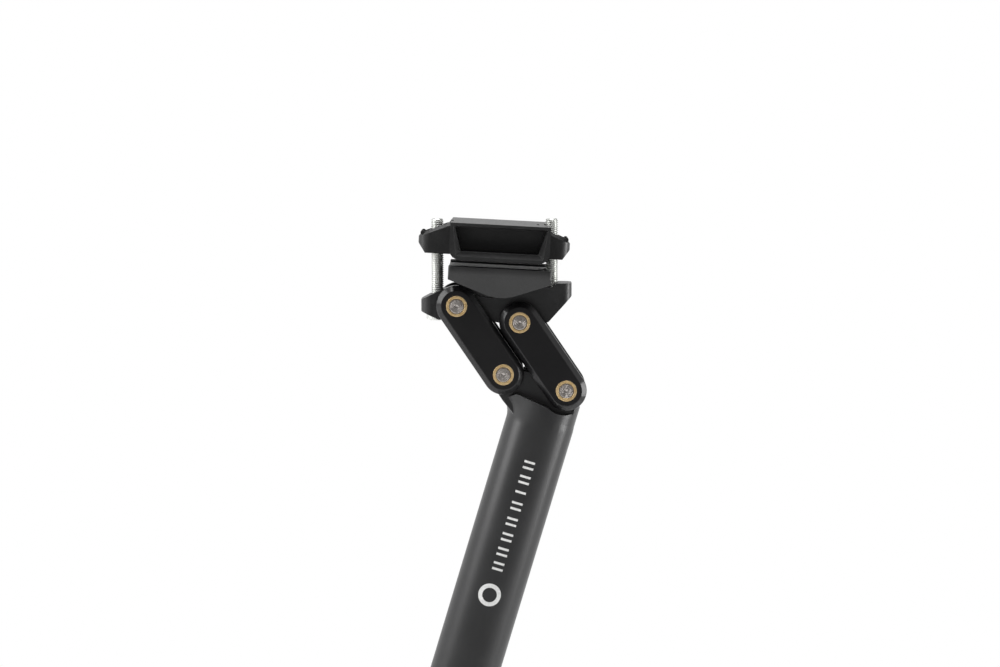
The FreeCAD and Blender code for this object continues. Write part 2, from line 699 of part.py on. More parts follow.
def make_upper_clamp():
    body = new_body("upper_rail_clamp", RAIL_CENTRE, RAIL_TURN)
    half = "Dims.clamp_half_length"
    rear = f"({half} - 1.2)"
    frame = new_sketch(body, "XZ_Plane")
    draw_box(frame, f"-{half}", "Dims.lip_bottom", rear, "Dims.clamp_top")
    pad(body, frame, "2 * Dims.wing_outer")
    lip = value_of("Dims.lip_bottom")
    dress(body, "Fillet", "4", lambda edge: runs_along(edge, 1) and near(edge, 2, lip))
    window = new_sketch(body, "XZ_Plane")
    draw_outline(
        window,
        [
            (f"4.4 - {half}", "Dims.window_floor"),
            (f"{rear} - 4.3", "Dims.window_floor"),
            (f"{rear} - 1.6", "Dims.clamp_top - 1.6"),
            (f"1.9 - {half}", "Dims.clamp_top - 1.6"),
        ],
    )
    pocket(body, window, "80")
    # The window widens towards its mouth on each side.
    for side, reverse in (("Dims.wing_outer", True), ("-Dims.wing_outer", False)):
        mouth = new_sketch(body, "XZ_Plane", f"-({side})")
        draw_outline(
            mouth,
            [
                (f"2.4 - {half}", "Dims.mouth_floor"),
                (f"{rear} - 2.4", "Dims.mouth_floor"),
                (f"{rear} - 0.9", "Dims.clamp_top - 1.1"),
                (f"1.1 - {half}", "Dims.clamp_top - 1.1"),
            ],
        )
        cut = pocket(body, mouth, "Dims.mouth_depth", both_ways=False, reverse=reverse)
        cut.setExpression("TaperAngle", "-Dims.mouth_flare")
        doc.recompute()
    core = new_sketch(body, "XZ_Plane")
    draw_box(core, f"1.0 - {half}", "Dims.lip_bottom", f"{rear} - 1.0", "Dims.clamp_top")
    pad(body, core, "2 * Dims.core_half")

    slope = "Dims.lug_slope * 1deg"
    for end in ("-1", "1"):
        nut_x, nut_z = nut_origin(end)
        roof_rise = f"({nut_z} + Dims.lug_roof)"
        inner_run = f"(Dims.clamp_top - {roof_rise}) / tan({slope})"
        lug = new_sketch(body, "XZ_Plane")
        tip = f"({nut_x} + ({end}) * Dims.lug_half)"
        draw_outline(
            lug,
            [
                (f"{nut_x} - ({end}) * 7.5", "Dims.lug_bottom"),
                (f"{tip} - ({end}) * 2.8", "Dims.lug_bottom"),
                (tip, "Dims.lug_corner"),
                (tip, f"{roof_rise} - Dims.lug_half * tan({slope})"),
                (f"{nut_x} - ({end}) * {inner_run}", "Dims.clamp_top"),
                (f"{nut_x} - ({end}) * 9.5", "Dims.clamp_top"),
            ],
        )
        pad(body, lug, "2 * Dims.lug_half")
        end_x = value_of(tip)
        dress(body, "Fillet", "4.5", lambda edge: runs_along(edge, 2) and near(edge, 0, end_x))
        lug_side = value_of("Dims.lug_half")
        middle = value_of(nut_x)
        dress(
            body,
            "Chamfer",
            "1.1",
            lambda edge: (near(edge, 1, lug_side) or near(edge, 1, -lug_side))
            and is_slanted(edge)
            and abs(edge.CenterOfMass.x - middle) < 5,
        )

    # Low ribs before and behind each nut.
    for end in ("-1", "1"):
        nut_x, nut_z = nut_origin(end)
        for along, inset in (("-6.3", "0.6"), ("6.0", "2.2")):
            rib = new_sketch(body, "XZ_Plane")
            draw_circle(
                rib,
                f"{nut_x} + ({end}) * ({along}) * cos({slope})",
                f"{nut_z} + Dims.lug_roof - ({along}) * sin({slope}) - 0.2",
                "Dims.rib_radius",
            )
            pad(body, rib, f"2 * Dims.lug_half - {inset}")

    for end in ("-1", "1"):
        nut_x, nut_z = nut_origin(end)
        cup = new_sketch(body, "XZ_Plane")
        draw_circle(cup, nut_x, nut_z, "Dims.nut_pocket")
        pocket(body, cup, "2 * Dims.nut_half + 0.3")

        def on_slope(along, up):
            return (
                f"{nut_x} + ({end}) * (({along}) * cos({slope}) + ({up}) * sin({slope}))",
                f"{nut_z} - ({along}) * sin({slope}) + ({up}) * cos({slope})",
            )

        throat = new_sketch(body, "XZ_Plane")
        wide = "Dims.nut_pocket"
        corners = ((f"-{wide}", "0"), (wide, "0"), (wide, "9"), (f"-{wide}", "9"))
        draw_outline(throat, [on_slope(along, up) for along, up in corners])
        pocket(body, throat, "2 * Dims.nut_half + 0.3")
    holes = new_sketch(body, "XY_Plane")
    for end in ("-1", "1"):
        draw_circle(holes, nut_origin(end)[0], "0", "Dims.slot_half")
    pocket(body, holes, "60")
    grooves = new_sketch(body, "YZ_Plane")
    for y in ("Dims.rail_half_gap", "-Dims.rail_half_gap"):
        draw_circle(grooves, y, "0", "Dims.rail_radius")
    pocket(body, grooves, "60")


make_post()
make_link("front_link", FRONT_LOWER, "Dims.front_web_end", "Dims.web_front")
make_link("rear_link", REAR_LOWER, "Dims.link_length - Dims.web_start", "Dims.web_rear")
for corner, pivot in PIVOTS.items():
    make_axle(f"{corner}_axle", pivot)
    make_ring_pair(
        f"{corner}_bushings",
        pivot,
        "Dims.bush_radius",
        "Dims.bush_bore",
        "Dims.plate_inner",
        "Dims.plate_outer - Dims.plate_inner",
    )
    make_ring_pair(
        f"{corner}_thrust_washers",
        pivot,
        "Dims.thrust_radius",
        "Dims.thrust_bore",
        "Dims.thrust_start",
        "Dims.thrust_thickness",
    )
lower_screws = [(x, f"{z} + Dims.axle_radius + 0.05") for x, z in (FRONT_LOWER, REAR_LOWER)]
make_grub_pair("lower_axle_screws", lower_screws, 0.0, 1)
screw_depth = "-Dims.axle_radius - 0.05"
upper_screws = [
    in_turned_frame(FRONT_UPPER, SADDLE_TURN, ("0", screw_depth)),
    in_turned_frame(REAR_UPPER, SADDLE_TURN, ("0", screw_depth)),
]
make_grub_pair("upper_axle_screws", upper_screws, SIZES["saddle_angle"], -1)
make_bumper()
make_head()
make_bolt("front_clamp_bolt", "Dims.front_bolt_x", "Dims.front_bolt_length")
make_bolt("rear_clamp_bolt", REAR_BOLT_X, "Dims.rear_bolt_length")
make_bolt_washer("front_bolt_washer", "Dims.front_bolt_x", "Dims.front_bolt_length")
make_bolt_washer("rear_bolt_washer", REAR_BOLT_X, "Dims.rear_bolt_length")
make_nut("front_barrel_nut", "-1")
make_nut("rear_barrel_nut", "1")
make_cradle()
make_upper_clamp()
doc.recompute()

NODES = (
    ["post", "front_link", "rear_link"]
    + [f"{corner}_{kind}" for corner in PIVOTS for kind in ("axle", "bushings", "thrust_washers")]
    + ["lower_axle_screws", "upper_axle_screws", "stop_bumper", "saddle_head"]
    + ["front_clamp_bolt", "rear_clamp_bolt", "front_bolt_washer", "rear_bolt_washer"]
    + ["front_barrel_nut", "rear_barrel_nut", "lower_rail_cradle", "upper_rail_clamp"]
)
for thing in doc.Objects:
    if "Invalid" in thing.State or "Error" in thing.State:
        raise RuntimeError(f"{thing.Name} failed: {thing.State}")
os.makedirs("parts", exist_ok=True)
for label in NODES:
    shape = doc.getObjectsByLabel(label)[0].Shape
    if shape.isNull() or not shape.isValid() or not shape.Solids:
        raise RuntimeError(f"{label} has no valid shape")
    shape.exportStep(f"parts/{label}.step")
    box = shape.BoundBox
    spans = (box.XMin, box.XMax, box.YMin, box.YMax, box.ZMin, box.ZMax)
    print(f"{label:30s} volume {shape.Volume:9.1f} box", *(f"{value:.2f}" for value in spans))
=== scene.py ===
import json
import math

import bmesh
import bpy
from mathutils import Matrix, Vector


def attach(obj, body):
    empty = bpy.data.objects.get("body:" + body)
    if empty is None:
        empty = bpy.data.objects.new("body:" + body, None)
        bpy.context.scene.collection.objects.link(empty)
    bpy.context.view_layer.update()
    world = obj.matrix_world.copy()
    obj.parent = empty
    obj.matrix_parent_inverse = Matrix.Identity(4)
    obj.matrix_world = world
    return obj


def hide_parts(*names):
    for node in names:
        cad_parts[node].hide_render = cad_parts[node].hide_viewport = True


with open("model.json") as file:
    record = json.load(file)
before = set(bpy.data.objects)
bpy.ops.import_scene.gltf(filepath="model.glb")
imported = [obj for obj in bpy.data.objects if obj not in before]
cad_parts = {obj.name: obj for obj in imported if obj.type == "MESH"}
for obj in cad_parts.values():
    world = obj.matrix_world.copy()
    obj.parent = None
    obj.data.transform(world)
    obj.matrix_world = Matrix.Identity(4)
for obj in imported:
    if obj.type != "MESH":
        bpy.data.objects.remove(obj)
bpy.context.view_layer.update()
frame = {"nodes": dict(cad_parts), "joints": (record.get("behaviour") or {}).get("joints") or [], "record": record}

MM = 0.001
nodes = frame["nodes"]
bodies = frame["record"]["behaviour"]["bodies"]
body_of_node = {name: body for body, names in bodies.items() for name in names}
joints = {joint["name"]: joint for joint in frame["joints"]}
slot_of_node = {part["node"]: part["material_slot"] for part in frame["record"]["subparts"]}

# Where the linkage's pivots are, and the directions that the saddle head is built along.
FRONT_LOWER = Vector(joints["link_swing"]["pos_m"])
REAR_LOWER = Vector(joints["rear_link_swing"]["pos_m"])
FRONT_UPPER = Vector(joints["head_level"]["pos_m"])
REAR_UPPER = FRONT_UPPER + REAR_LOWER - FRONT_LOWER
SEAT_ANGLE = math.radians(16.7)
HEAD_UP = Vector((-math.sin(SEAT_ANGLE), 0, math.cos(SEAT_ANGLE)))
HEAD_REAR = Vector((math.cos(SEAT_ANGLE), 0, math.sin(SEAT_ANGLE)))
ACROSS = Vector((0, 1, 0))


# ---------------------------------------------------------------- materials

RUBBED_METAL = (0.42, 0.42, 0.43)
RUBBED_WIDTH = 0.5 * MM


class Shade:
    """A Principled material with helpers for its procedural nodes, all in the object's own coordinates."""

    def __init__(self, name, metallic=0.0, specular=0.5, coat=0.0, coat_roughness=0.1):
        self.material = bpy.data.materials.new(name)
        self.material.use_nodes = True
        self.tree = self.material.node_tree
        self.shader = self.tree.nodes["Principled BSDF"]
        self.shader.inputs["Metallic"].default_value = metallic
        self.shader.inputs["IOR"].default_value = 1.5
        self.shader.inputs["Specular IOR Level"].default_value = specular
        self.shader.inputs["Coat Weight"].default_value = coat
        self.shader.inputs["Coat Roughness"].default_value = coat_roughness
        self.place = self.tree.nodes.new("ShaderNodeTexCoord").outputs["Object"]

    def node(self, kind, **settings):
        made = self.tree.nodes.new(kind)
        for key, value in settings.items():
            setattr(made, key, value)
        return made

    def link(self, source, target):
        self.tree.links.new(source, target)

    def noise(self, scale, detail=3.0, rough=0.55):
        made = self.node("ShaderNodeTexNoise")
        made.inputs["Scale"].default_value = scale
        made.inputs["Detail"].default_value = detail
        made.inputs["Roughness"].default_value = rough
        self.link(self.place, made.inputs["Vector"])
        return made.outputs["Fac"]

    def cells(self, scale):
        made = self.node("ShaderNodeTexVoronoi")
        made.inputs["Scale"].default_value = scale
        self.link(self.place, made.inputs["Vector"])
        return made.outputs["Distance"]

    def ranged(self, value, low, high, start=0.0, end=1.0):
        made = self.node("ShaderNodeMapRange")
        made.inputs["From Min"].default_value = start
        made.inputs["From Max"].default_value = end
        made.inputs["To Min"].default_value = low
        made.inputs["To Max"].default_value = high
        self.link(value, made.inputs["Value"])
        return made.outputs["Result"]

    def combined(self, first, second, operation="ADD"):
        made = self.node("ShaderNodeMath", operation=operation)
        for socket, value in zip(made.inputs, (first, second)):
            if isinstance(value, float):
                socket.default_value = value
            else:
                self.link(value, socket)
        return made.outputs["Value"]

    def mixed(self, factor, dark, light):
        made = self.node("ShaderNodeMix", data_type="RGBA")
        self.link(factor, made.inputs["Factor"])
        for socket, colour in ((made.inputs["A"], dark), (made.inputs["B"], light)):
            if isinstance(colour, tuple):
                socket.default_value = (*colour, 1)
            else:
                self.link(colour, socket)
        return made.outputs["Result"]

    def edges(self, width):
        """1 along sharp edges and 0 on flat and gently curved surface."""
        bevel = self.node("ShaderNodeBevel", samples=4)
        bevel.inputs["Radius"].default_value = width
        flat = self.node("ShaderNodeNewGeometry").outputs["Normal"]
        dot = self.node("ShaderNodeVectorMath", operation="DOT_PRODUCT")
        self.link(bevel.outputs["Normal"], dot.inputs[0])
        self.link(flat, dot.inputs[1])
        return self.ranged(dot.outputs["Value"], 1.0, 0.0, 0.82, 0.995)

    def rubbed(self, scale, least, amount):
        """How far the finish is rubbed through: only along edges, and patchy there."""
        patchy = self.ranged(self.noise(scale, 3), least, 1.0, 0.4, 0.6)
        on_edges = self.combined(self.edges(RUBBED_WIDTH), patchy, "MULTIPLY")
        return self.combined(on_edges, amount, "MULTIPLY")

    def colour(self, value):
        self.link(value, self.shader.inputs["Base Color"])

    def roughness(self, value):
        self.link(value, self.shader.inputs["Roughness"])

    def bump(self, height, distance):
        made = self.node("ShaderNodeBump")
        made.inputs["Distance"].default_value = distance
        made.inputs["Strength"].default_value = 1.0
        self.link(height, made.inputs["Height"])
        self.link(made.outputs["Normal"], self.shader.inputs["Normal"])


def anodised(name, dark, light, rough, grain, bump, specular=0.5, coat=0.0):
    """Black anodised aluminium: faint mottling, fine grain in its gloss, and paler rubbed edges."""
    shade = Shade(name, specular=specular, coat=coat, coat_roughness=0.12)
    clouds = shade.ranged(shade.noise(55, 4), 0, 1, 0.35, 0.65)
    base = shade.mixed(clouds, dark, light)
    shade.colour(shade.mixed(shade.rubbed(scale=900, least=0.15, amount=0.06), base, RUBBED_METAL))
    fine = shade.noise(grain, 2, 0.6)
    smudges = shade.noise(24, 5, 0.6)
    smudged = shade.ranged(smudges, -0.05, 0.05, 0.3, 0.7)
    spread = shade.combined(shade.ranged(fine, -0.05, 0.05), smudged)
    shade.roughness(shade.combined(spread, rough))
    shade.bump(fine, bump)
    return shade.material


def turned_steel(name, dark, light, rough):
    """Bare or blackened metal with fine tool marks."""
    shade = Shade(name, metallic=1.0)
    patches = shade.ranged(shade.noise(420, 4), 0, 1, 0.3, 0.7)
    shade.colour(shade.mixed(patches, dark, light))
    fine = shade.noise(2600, 3)
    shade.roughness(shade.ranged(fine, rough - 0.06, rough + 0.08, 0.3, 0.7))
    shade.bump(fine, 0.004 * MM)
    return shade.material


def zinc_plate(name):
    """Bright zinc with a fine spangle."""
    shade = Shade(name, metallic=1.0)
    spangle = shade.cells(1500)
    patches = shade.ranged(shade.noise(300, 4), 0, 1, 0.3, 0.7)
    base = shade.mixed(patches, (0.50, 0.51, 0.50), (0.64, 0.65, 0.63))
    shade.colour(shade.mixed(shade.ranged(spangle, 0, 0.35, 0.0, 0.6), base, (0.74, 0.74, 0.71)))
    shade.roughness(shade.ranged(shade.noise(1800, 3), 0.28, 0.46, 0.3, 0.7))
    shade.bump(shade.noise(3000, 3), 0.006 * MM)
    return shade.material


def bearing_bronze(name):
    """Sintered bronze of the bushings, slightly patchy."""
    shade = Shade(name, metallic=1.0)
    patches = shade.ranged(shade.noise(600, 4), 0, 1, 0.3, 0.7)
    shade.colour(shade.mixed(patches, (0.76, 0.52, 0.24), (0.92, 0.69, 0.38)))
    shade.roughness(shade.ranged(shade.noise(2500, 2), 0.26, 0.40, 0.3, 0.7))
    shade.bump(shade.noise(2500, 2), 0.004 * MM)
    return shade.material


def moulded(name, dark, light, rough, grain, bump):
    """Rubber or plastic out of a mould."""
    shade = Shade(name, specular=0.35)
    shade.colour(shade.mixed(shade.ranged(shade.noise(300, 4), 0, 1, 0.3, 0.7), dark, light))
    fine = shade.noise(grain, 3)
    shade.roughness(shade.ranged(fine, rough - 0.08, rough + 0.08, 0.3, 0.7))
    shade.bump(fine, bump)
    return shade.material


def cast_clamp(name):
    """Blasted casting under the anodised finish: coarser grain than the machined pieces."""
    shade = Shade(name, specular=0.5)
    clouds = shade.ranged(shade.noise(90, 4), 0, 1, 0.35, 0.65)
    base = shade.mixed(clouds, (0.003, 0.003, 0.0032), (0.007, 0.007, 0.0072))
    shade.colour(shade.mixed(shade.rubbed(scale=1100, least=0.1, amount=0.02), base, RUBBED_METAL))
    pits = shade.noise(1300, 4, 0.65)
    shade.roughness(shade.ranged(pits, 0.30, 0.46, 0.3, 0.7))
    shade.bump(pits, 0.03 * MM)
    return shade.material


def printed_ink(name):
    """Light grey screen print."""
    shade = Shade(name, specular=0.4)
    patches = shade.ranged(shade.noise(900, 3), 0, 1, 0.35, 0.65)
    shade.colour(shade.mixed(patches, (0.60, 0.60, 0.59), (0.70, 0.70, 0.69)))
    shade.roughness(shade.ranged(shade.noise(2400, 2), 0.45, 0.6))
    shade.bump(shade.noise(2400, 2), 0.004 * MM)
    return shade.material


# Each finish: its darker and lighter colour, roughness, grain and depth of the grain.
looks = {
    "anodised_post": anodised(
        "satin_black_post", (0.011, 0.011, 0.0115), (0.015, 0.015, 0.0155), 0.34, 3200, 0.005 * MM
    ),
    "anodised_links": anodised(
        "blasted_black_links",
        (0.0028, 0.0026, 0.0030),
        (0.0048, 0.0045, 0.0050),
        0.34,
        2400,
        0.010 * MM,
        specular=0.22,
        coat=0.32,
    ),
    "anodised_clamp": cast_clamp("cast_black_clamp"),
    "axle_steel": turned_steel("turned_steel", (0.34, 0.31, 0.29), (0.46, 0.43, 0.41), 0.30),
    "bronze": bearing_bronze("bearing_bronze"),
    "thrust_plastic": moulded(
        "thrust_plastic", (0.02, 0.02, 0.02), (0.04, 0.04, 0.04), 0.5, 2200, 0.006 * MM
    ),
    "screw_steel": turned_steel("black_oxide", (0.03, 0.03, 0.03), (0.06, 0.06, 0.06), 0.38),
    "rubber": moulded("bumper_rubber", (0.010, 0.010, 0.010), (0.020, 0.020, 0.020), 0.7, 1800, 0.02 * MM),
    "nut_steel": turned_steel("black_oxide_nut", (0.05, 0.05, 0.052), (0.09, 0.09, 0.092), 0.36),
    "zinc_steel": zinc_plate("zinc_plate"),
}
ink = printed_ink("printed_ink")
for name, node in nodes.items():
    for material_slot in node.material_slots:
        material_slot.material = looks[slot_of_node[name]]


# ---------------------------------------------------------------- pieces

DOUBLED = 0.002 * MM
FLAT_WITHIN = math.radians(0.6)
SHARP_BEYOND = math.radians(28.0)
SAME_POINT = 0.0005 * MM
LATHE_STEPS = 72


def piece(name, mesh, node):
    """Shows a mesh in place of a CAD node, on the same body and with the same finish."""
    made = bpy.data.objects.new(name, mesh)
    bpy.context.scene.collection.objects.link(made)
    mesh.materials.clear()
    mesh.materials.append(looks[slot_of_node[node]])
    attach(made, body_of_node[node])
    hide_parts(node)
    return made


def cleaned_copy(node):
    """The CAD node's shape with its doubled points joined and its flat faces made whole."""
    shape = bmesh.new()
    shape.from_mesh(nodes[node].data)
    bmesh.ops.remove_doubles(shape, verts=shape.verts, dist=DOUBLED)
    bmesh.ops.dissolve_limit(
        shape, angle_limit=FLAT_WITHIN, verts=shape.verts, edges=shape.edges, delimit=set()
    )
    for face in shape.faces:
        face.smooth = True
    mesh = bpy.data.meshes.new(node + "_shape")
    shape.to_mesh(mesh)
    shape.free()
    return mesh


def machined(node, name, width, segments=3, clamp=False):
    """The CAD node's own shape with each sharp edge rounded by the same small radius."""
    made = piece(name, cleaned_copy(node), node)
    bevel = made.modifiers.new("edges", "BEVEL")
    bevel.width = width
    bevel.segments = segments
    bevel.limit_method = "ANGLE"
    bevel.angle_limit = SHARP_BEYOND
    bevel.use_clamp_overlap = clamp
    bevel.miter_outer = "MITER_ARC"
    weighted = made.modifiers.new("flats", "WEIGHTED_NORMAL")
    weighted.mode = "FACE_AREA"
    weighted.weight = 100
    weighted.keep_sharp = True


def grid_mesh(rows, closed=True):
    """A mesh through equal rows of points; each row may close on itself."""
    shape = bmesh.new()
    made = [[shape.verts.new(point) for point in row] for row in rows]
    for lower, upper in zip(made, made[1:]):
        for i in range(len(lower) if closed else len(lower) - 1):
            j = (i + 1) % len(lower)
            shape.faces.new((lower[i], lower[j], upper[j], upper[i]))
    return shape


def finished(shape, name, place, crease):
    """Joins and places a shape built about its own +Z axis; it stays sharp beyond the crease angle."""
    bmesh.ops.remove_doubles(shape, verts=shape.verts, dist=SAME_POINT)
    bmesh.ops.recalc_face_normals(shape, faces=shape.faces)
    for face in shape.faces:
        face.smooth = True
    mesh = bpy.data.meshes.new(name)
    shape.to_mesh(mesh)
    shape.free()
    mesh.transform(place)
    mesh.set_sharp_from_angle(angle=math.radians(crease))
    return mesh


def turned(name, outline, place, crease):
    """A lathe-turned mesh: outline holds (radius, height) pairs from axis to axis."""
    turns = [math.tau * i / LATHE_STEPS for i in range(LATHE_STEPS)]
    rows = [
        [(radius * math.cos(turn), radius * math.sin(turn), height) for turn in turns]
        for radius, height in outline
    ]
    return finished(grid_mesh(rows), name, place, crease)


def frame_at(origin, axis, side):
    """Placement whose +Z runs along axis and whose +X is side."""
    axis, side = axis.normalized(), side.normalized()
    return Matrix.Translation(origin) @ Matrix((side, axis.cross(side), axis)).transposed().to_4x4()


# Axles: faced ends with fine turning rings and a centre drill, seen at each side of each link.
# Outlines are (radius, depth below the end) in millimetres, from the rim inwards.
AXLE_HALF = 13.7 * MM
AXLE_RIM = [(3.0, 0.42), (2.94, 0.22), (2.78, 0.06), (2.62, 0.02)]
AXLE_GROOVES = (2.30, 1.86, 1.42, 0.98)
AXLE_GROOVE = [(0.10, 0.02), (0.04, 0.075), (-0.04, 0.075), (-0.10, 0.02)]
AXLE_CENTRE = [(0.40, 0.02), (0.34, 0.05), (0.10, 0.18), (0.0, 0.20)]
PIVOTS = {
    "front_lower": FRONT_LOWER,
    "rear_lower": REAR_LOWER,
    "front_upper": FRONT_UPPER,
    "rear_upper": REAR_UPPER,
}


def axle_end(sign):
    """Outline of one end: chamfer, outer land, grooves and centre drill."""
    grooves = [(middle + out, depth) for middle in AXLE_GROOVES for out, depth in AXLE_GROOVE]
    steps = AXLE_RIM + grooves + AXLE_CENTRE
    return [(radius * MM, sign * (AXLE_HALF - depth * MM)) for radius, depth in steps]


for corner, pivot in PIVOTS.items():
    outline = list(reversed(axle_end(-1))) + axle_end(1)
    name = f"{corner}_axle_pin"
    piece(name, turned(name, outline, frame_at(pivot, ACROSS, Vector((1, 0, 0))), 30), f"{corner}_axle")


# Clamp bolts: rolled thread along the shank, knurled head with a hexagon socket.
BOLT_RADIUS = 2.5 * MM
BOLT_TIP = 33.79 * MM
THREAD_DEPTH = 0.42 * MM
THREAD_PITCH = 0.8 * MM
THREAD_CREST, THREAD_FLANK = 0.12, 0.70
THREAD_START, THREAD_RUN_OUT = 0.6 * MM, 0.8 * MM
TIP_CHAMFER = 0.55 * MM
SHANK_STEPS_ROUND = 40
SHANK_STEPS_PER_PITCH = 8
HEAD_STEPS_ROUND = 144
KNURLS = 36
KNURL_DEPTH = 0.13
# (radius, height above the bearing face, knurled) from the shank down to the head's end face.
HEAD_OUTSIDE = (
    (2.3, 0.0, False),
    (4.08, 0.0, False),
    (4.25, -0.16, False),
    (4.25, -0.45, True),
    (4.25, -4.35, True),
    (4.14, -4.62, False),
    (3.75, -5.0, False),
)
# (radius, height, six-sided) from the end face up to the bottom of the socket.
HEAD_SOCKET = (
    (2.75, -5.0, False),
    (2.36, -4.9, True),
    (2.31, -4.7, True),
    (2.31, -2.2, True),
    (0.0, -1.7, False),
)
# name, CAD node, distance behind the front upper pivot, length
BOLTS = (
    ("front_bolt_threaded", "front_clamp_bolt", -7.8 * MM, 35.0 * MM),
    ("rear_bolt_threaded", "rear_clamp_bolt", 37.4 * MM, 30.0 * MM),
)


def limited(value, low, high):
    return min(max(value, low), high)


def thread_radius(along, turn, length):
    """Radius of the rolled thread, run out below the head and chamfered at the tip."""
    phase = (along / THREAD_PITCH - turn) % 1.0
    ridge = limited((1.0 - abs(2.0 * phase - 1.0) - THREAD_CREST) / THREAD_FLANK, 0.0, 1.0)
    started = limited((along - THREAD_START) / THREAD_RUN_OUT, 0.0, 1.0)
    radius = BOLT_RADIUS - THREAD_DEPTH * (1.0 - ridge) * started
    return min(radius, BOLT_RADIUS - TIP_CHAMFER + (length - along))


def threaded_shank(length):
    """A closed shank whose rows of points climb with the thread's helix."""
    around, per_pitch = SHANK_STEPS_ROUND, SHANK_STEPS_PER_PITCH
    rows = []
    for i in range(-per_pitch, int(length / THREAD_PITCH * per_pitch) + 1):
        row = []
        for j in range(around):
            turn = j / around
            along = limited((i / per_pitch + turn) * THREAD_PITCH, 0.0, length)
            radius = thread_radius(along, turn, length)
            row.append((radius * math.cos(math.tau * turn), radius * math.sin(math.tau * turn), along))
        rows.append(row)
    shape = grid_mesh(rows, closed=False)
    # After one turn the helix meets itself one pitch further on.
    shape.verts.ensure_lookup_table()
    grid = [shape.verts[i * around:(i + 1) * around] for i in range(len(rows))]
    for i in range(len(rows) - 1 - per_pitch):
        next_turn, above_next_turn = grid[i + per_pitch], grid[i + 1 + per_pitch]
        shape.faces.new((grid[i][-1], next_turn[0], above_next_turn[0], grid[i + 1][-1]))
    bmesh.ops.remove_doubles(shape, verts=shape.verts, dist=SAME_POINT)
    bmesh.ops.holes_fill(shape, edges=[edge for edge in shape.edges if edge.is_boundary], sides=0)
    return shape


def add_bolt_head(shape):
    """Adds the knurled head below the bearing face, with a hexagon socket in its end."""
    angles = [math.tau * j / HEAD_STEPS_ROUND for j in range(HEAD_STEPS_ROUND)]
    rows = []
    for radius, height, knurled in HEAD_OUTSIDE:
        row = []
        for angle in angles:
            knurl = KNURL_DEPTH * abs(math.sin(KNURLS / 2 * angle)) if knurled else 0.0
            reach = (radius - knurl) * MM
            row.append((reach * math.cos(angle), reach * math.sin(angle), height * MM))
        rows.append(row)
    sixth = math.pi / 3
    for radius, height, six_sided in HEAD_SOCKET:
        row = []
        for angle in angles:
            from_flat = (angle + sixth / 2) % sixth - sixth / 2
            reach = radius * MM * (math.cos(sixth / 2) / math.cos(from_flat) if six_sided else 1.0)
            row.append((reach * math.cos(angle), reach * math.sin(angle), height * MM))
        rows.append(row)
    head = grid_mesh(rows)
    mesh = bpy.data.meshes.new("bolt_head")
    head.to_mesh(mesh)
    head.free()
    shape.from_mesh(mesh)
    bpy.data.meshes.remove(mesh)


for name, node, along, length in BOLTS:
    seat = FRONT_UPPER + HEAD_REAR * along + HEAD_UP * (BOLT_TIP - length)
    shape = threaded_shank(length)
    add_bolt_head(shape)
    piece(name, finished(shape, name, frame_at(seat, HEAD_UP, HEAD_REAR), 32), node)


# Printed marks on the left side of the tube, in millimetres up it: a ring and short strokes.
TUBE_RADIUS = 13.6 * MM
INK_TOP = 0.03 * MM
INK_ROOT = -0.02 * MM
RING_CENTRE = 223.5
RING_OUTER, RING_INNER = 4.55, 2.9
RING_STEPS = 96
MARK_HALF_WIDTH = 2.15
STROKE = 0.9
STROKE_STEPS = 12
PAIR = (-1.2, 1.2)
SINGLE = (0.0,)
MARKS = (
    (235.4, PAIR),
    (241.4, PAIR),
    (247.5, PAIR),
    (253.9, PAIR),
    (260.4, PAIR),
    (266.1, SINGLE),
    (271.3, PAIR),
    (277.3, PAIR),
)


def on_tube(across, up, height):
    """A point above the tube's left side, from millimetres round it and up it."""
    angle = across * MM / TUBE_RADIUS
    radius = TUBE_RADIUS + height
    return radius * math.sin(angle), -radius * math.cos(angle), up * MM


def joined_loops(shape, loops, closed):
    """Faces between one loop of points and the next, and from the last back to the first if closed."""
    following = loops[1:] + (loops[:1] if closed else [])
    for here, there in zip(loops, following):
        for i in range(len(here)):
            j = (i + 1) % len(here)
            shape.faces.new((here[i], here[j], there[j], there[i]))


def printed_ring(shape):
    turns = [math.tau * i / RING_STEPS for i in range(RING_STEPS)]
    loops = []
    for radius, height in (
        (RING_OUTER, INK_ROOT),
        (RING_OUTER, INK_TOP),
        (RING_INNER, INK_TOP),
        (RING_INNER, INK_ROOT),
    ):
        points = [(radius * math.cos(t), RING_CENTRE + radius * math.sin(t)) for t in turns]
        loops.append([shape.verts.new(on_tube(across, up, height)) for across, up in points])
    joined_loops(shape, loops, closed=True)


def printed_stroke(shape, centre):
    low, high = centre - STROKE / 2, centre + STROKE / 2
    corners = ((low, INK_ROOT), (low, INK_TOP), (high, INK_TOP), (high, INK_ROOT))
    sections = []
    for i in range(STROKE_STEPS + 1):
        across = MARK_HALF_WIDTH * (2 * i / STROKE_STEPS - 1)
        sections.append([shape.verts.new(on_tube(across, up, height)) for up, height in corners])
    joined_loops(shape, sections, closed=False)
    shape.faces.new(sections[0])
    shape.faces.new(sections[-1])


marks = bmesh.new()
printed_ring(marks)
for centre, offsets in MARKS:
    for offset in offsets:
        printed_stroke(marks, centre + offset)
marks_mesh = finished(marks, "post_printed_marks", Matrix.Identity(4), 30)
marks_mesh.materials.append(ink)
printed = bpy.data.objects.new("post_printed_marks", marks_mesh)
bpy.context.scene.collection.objects.link(printed)
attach(printed, body_of_node["post"])

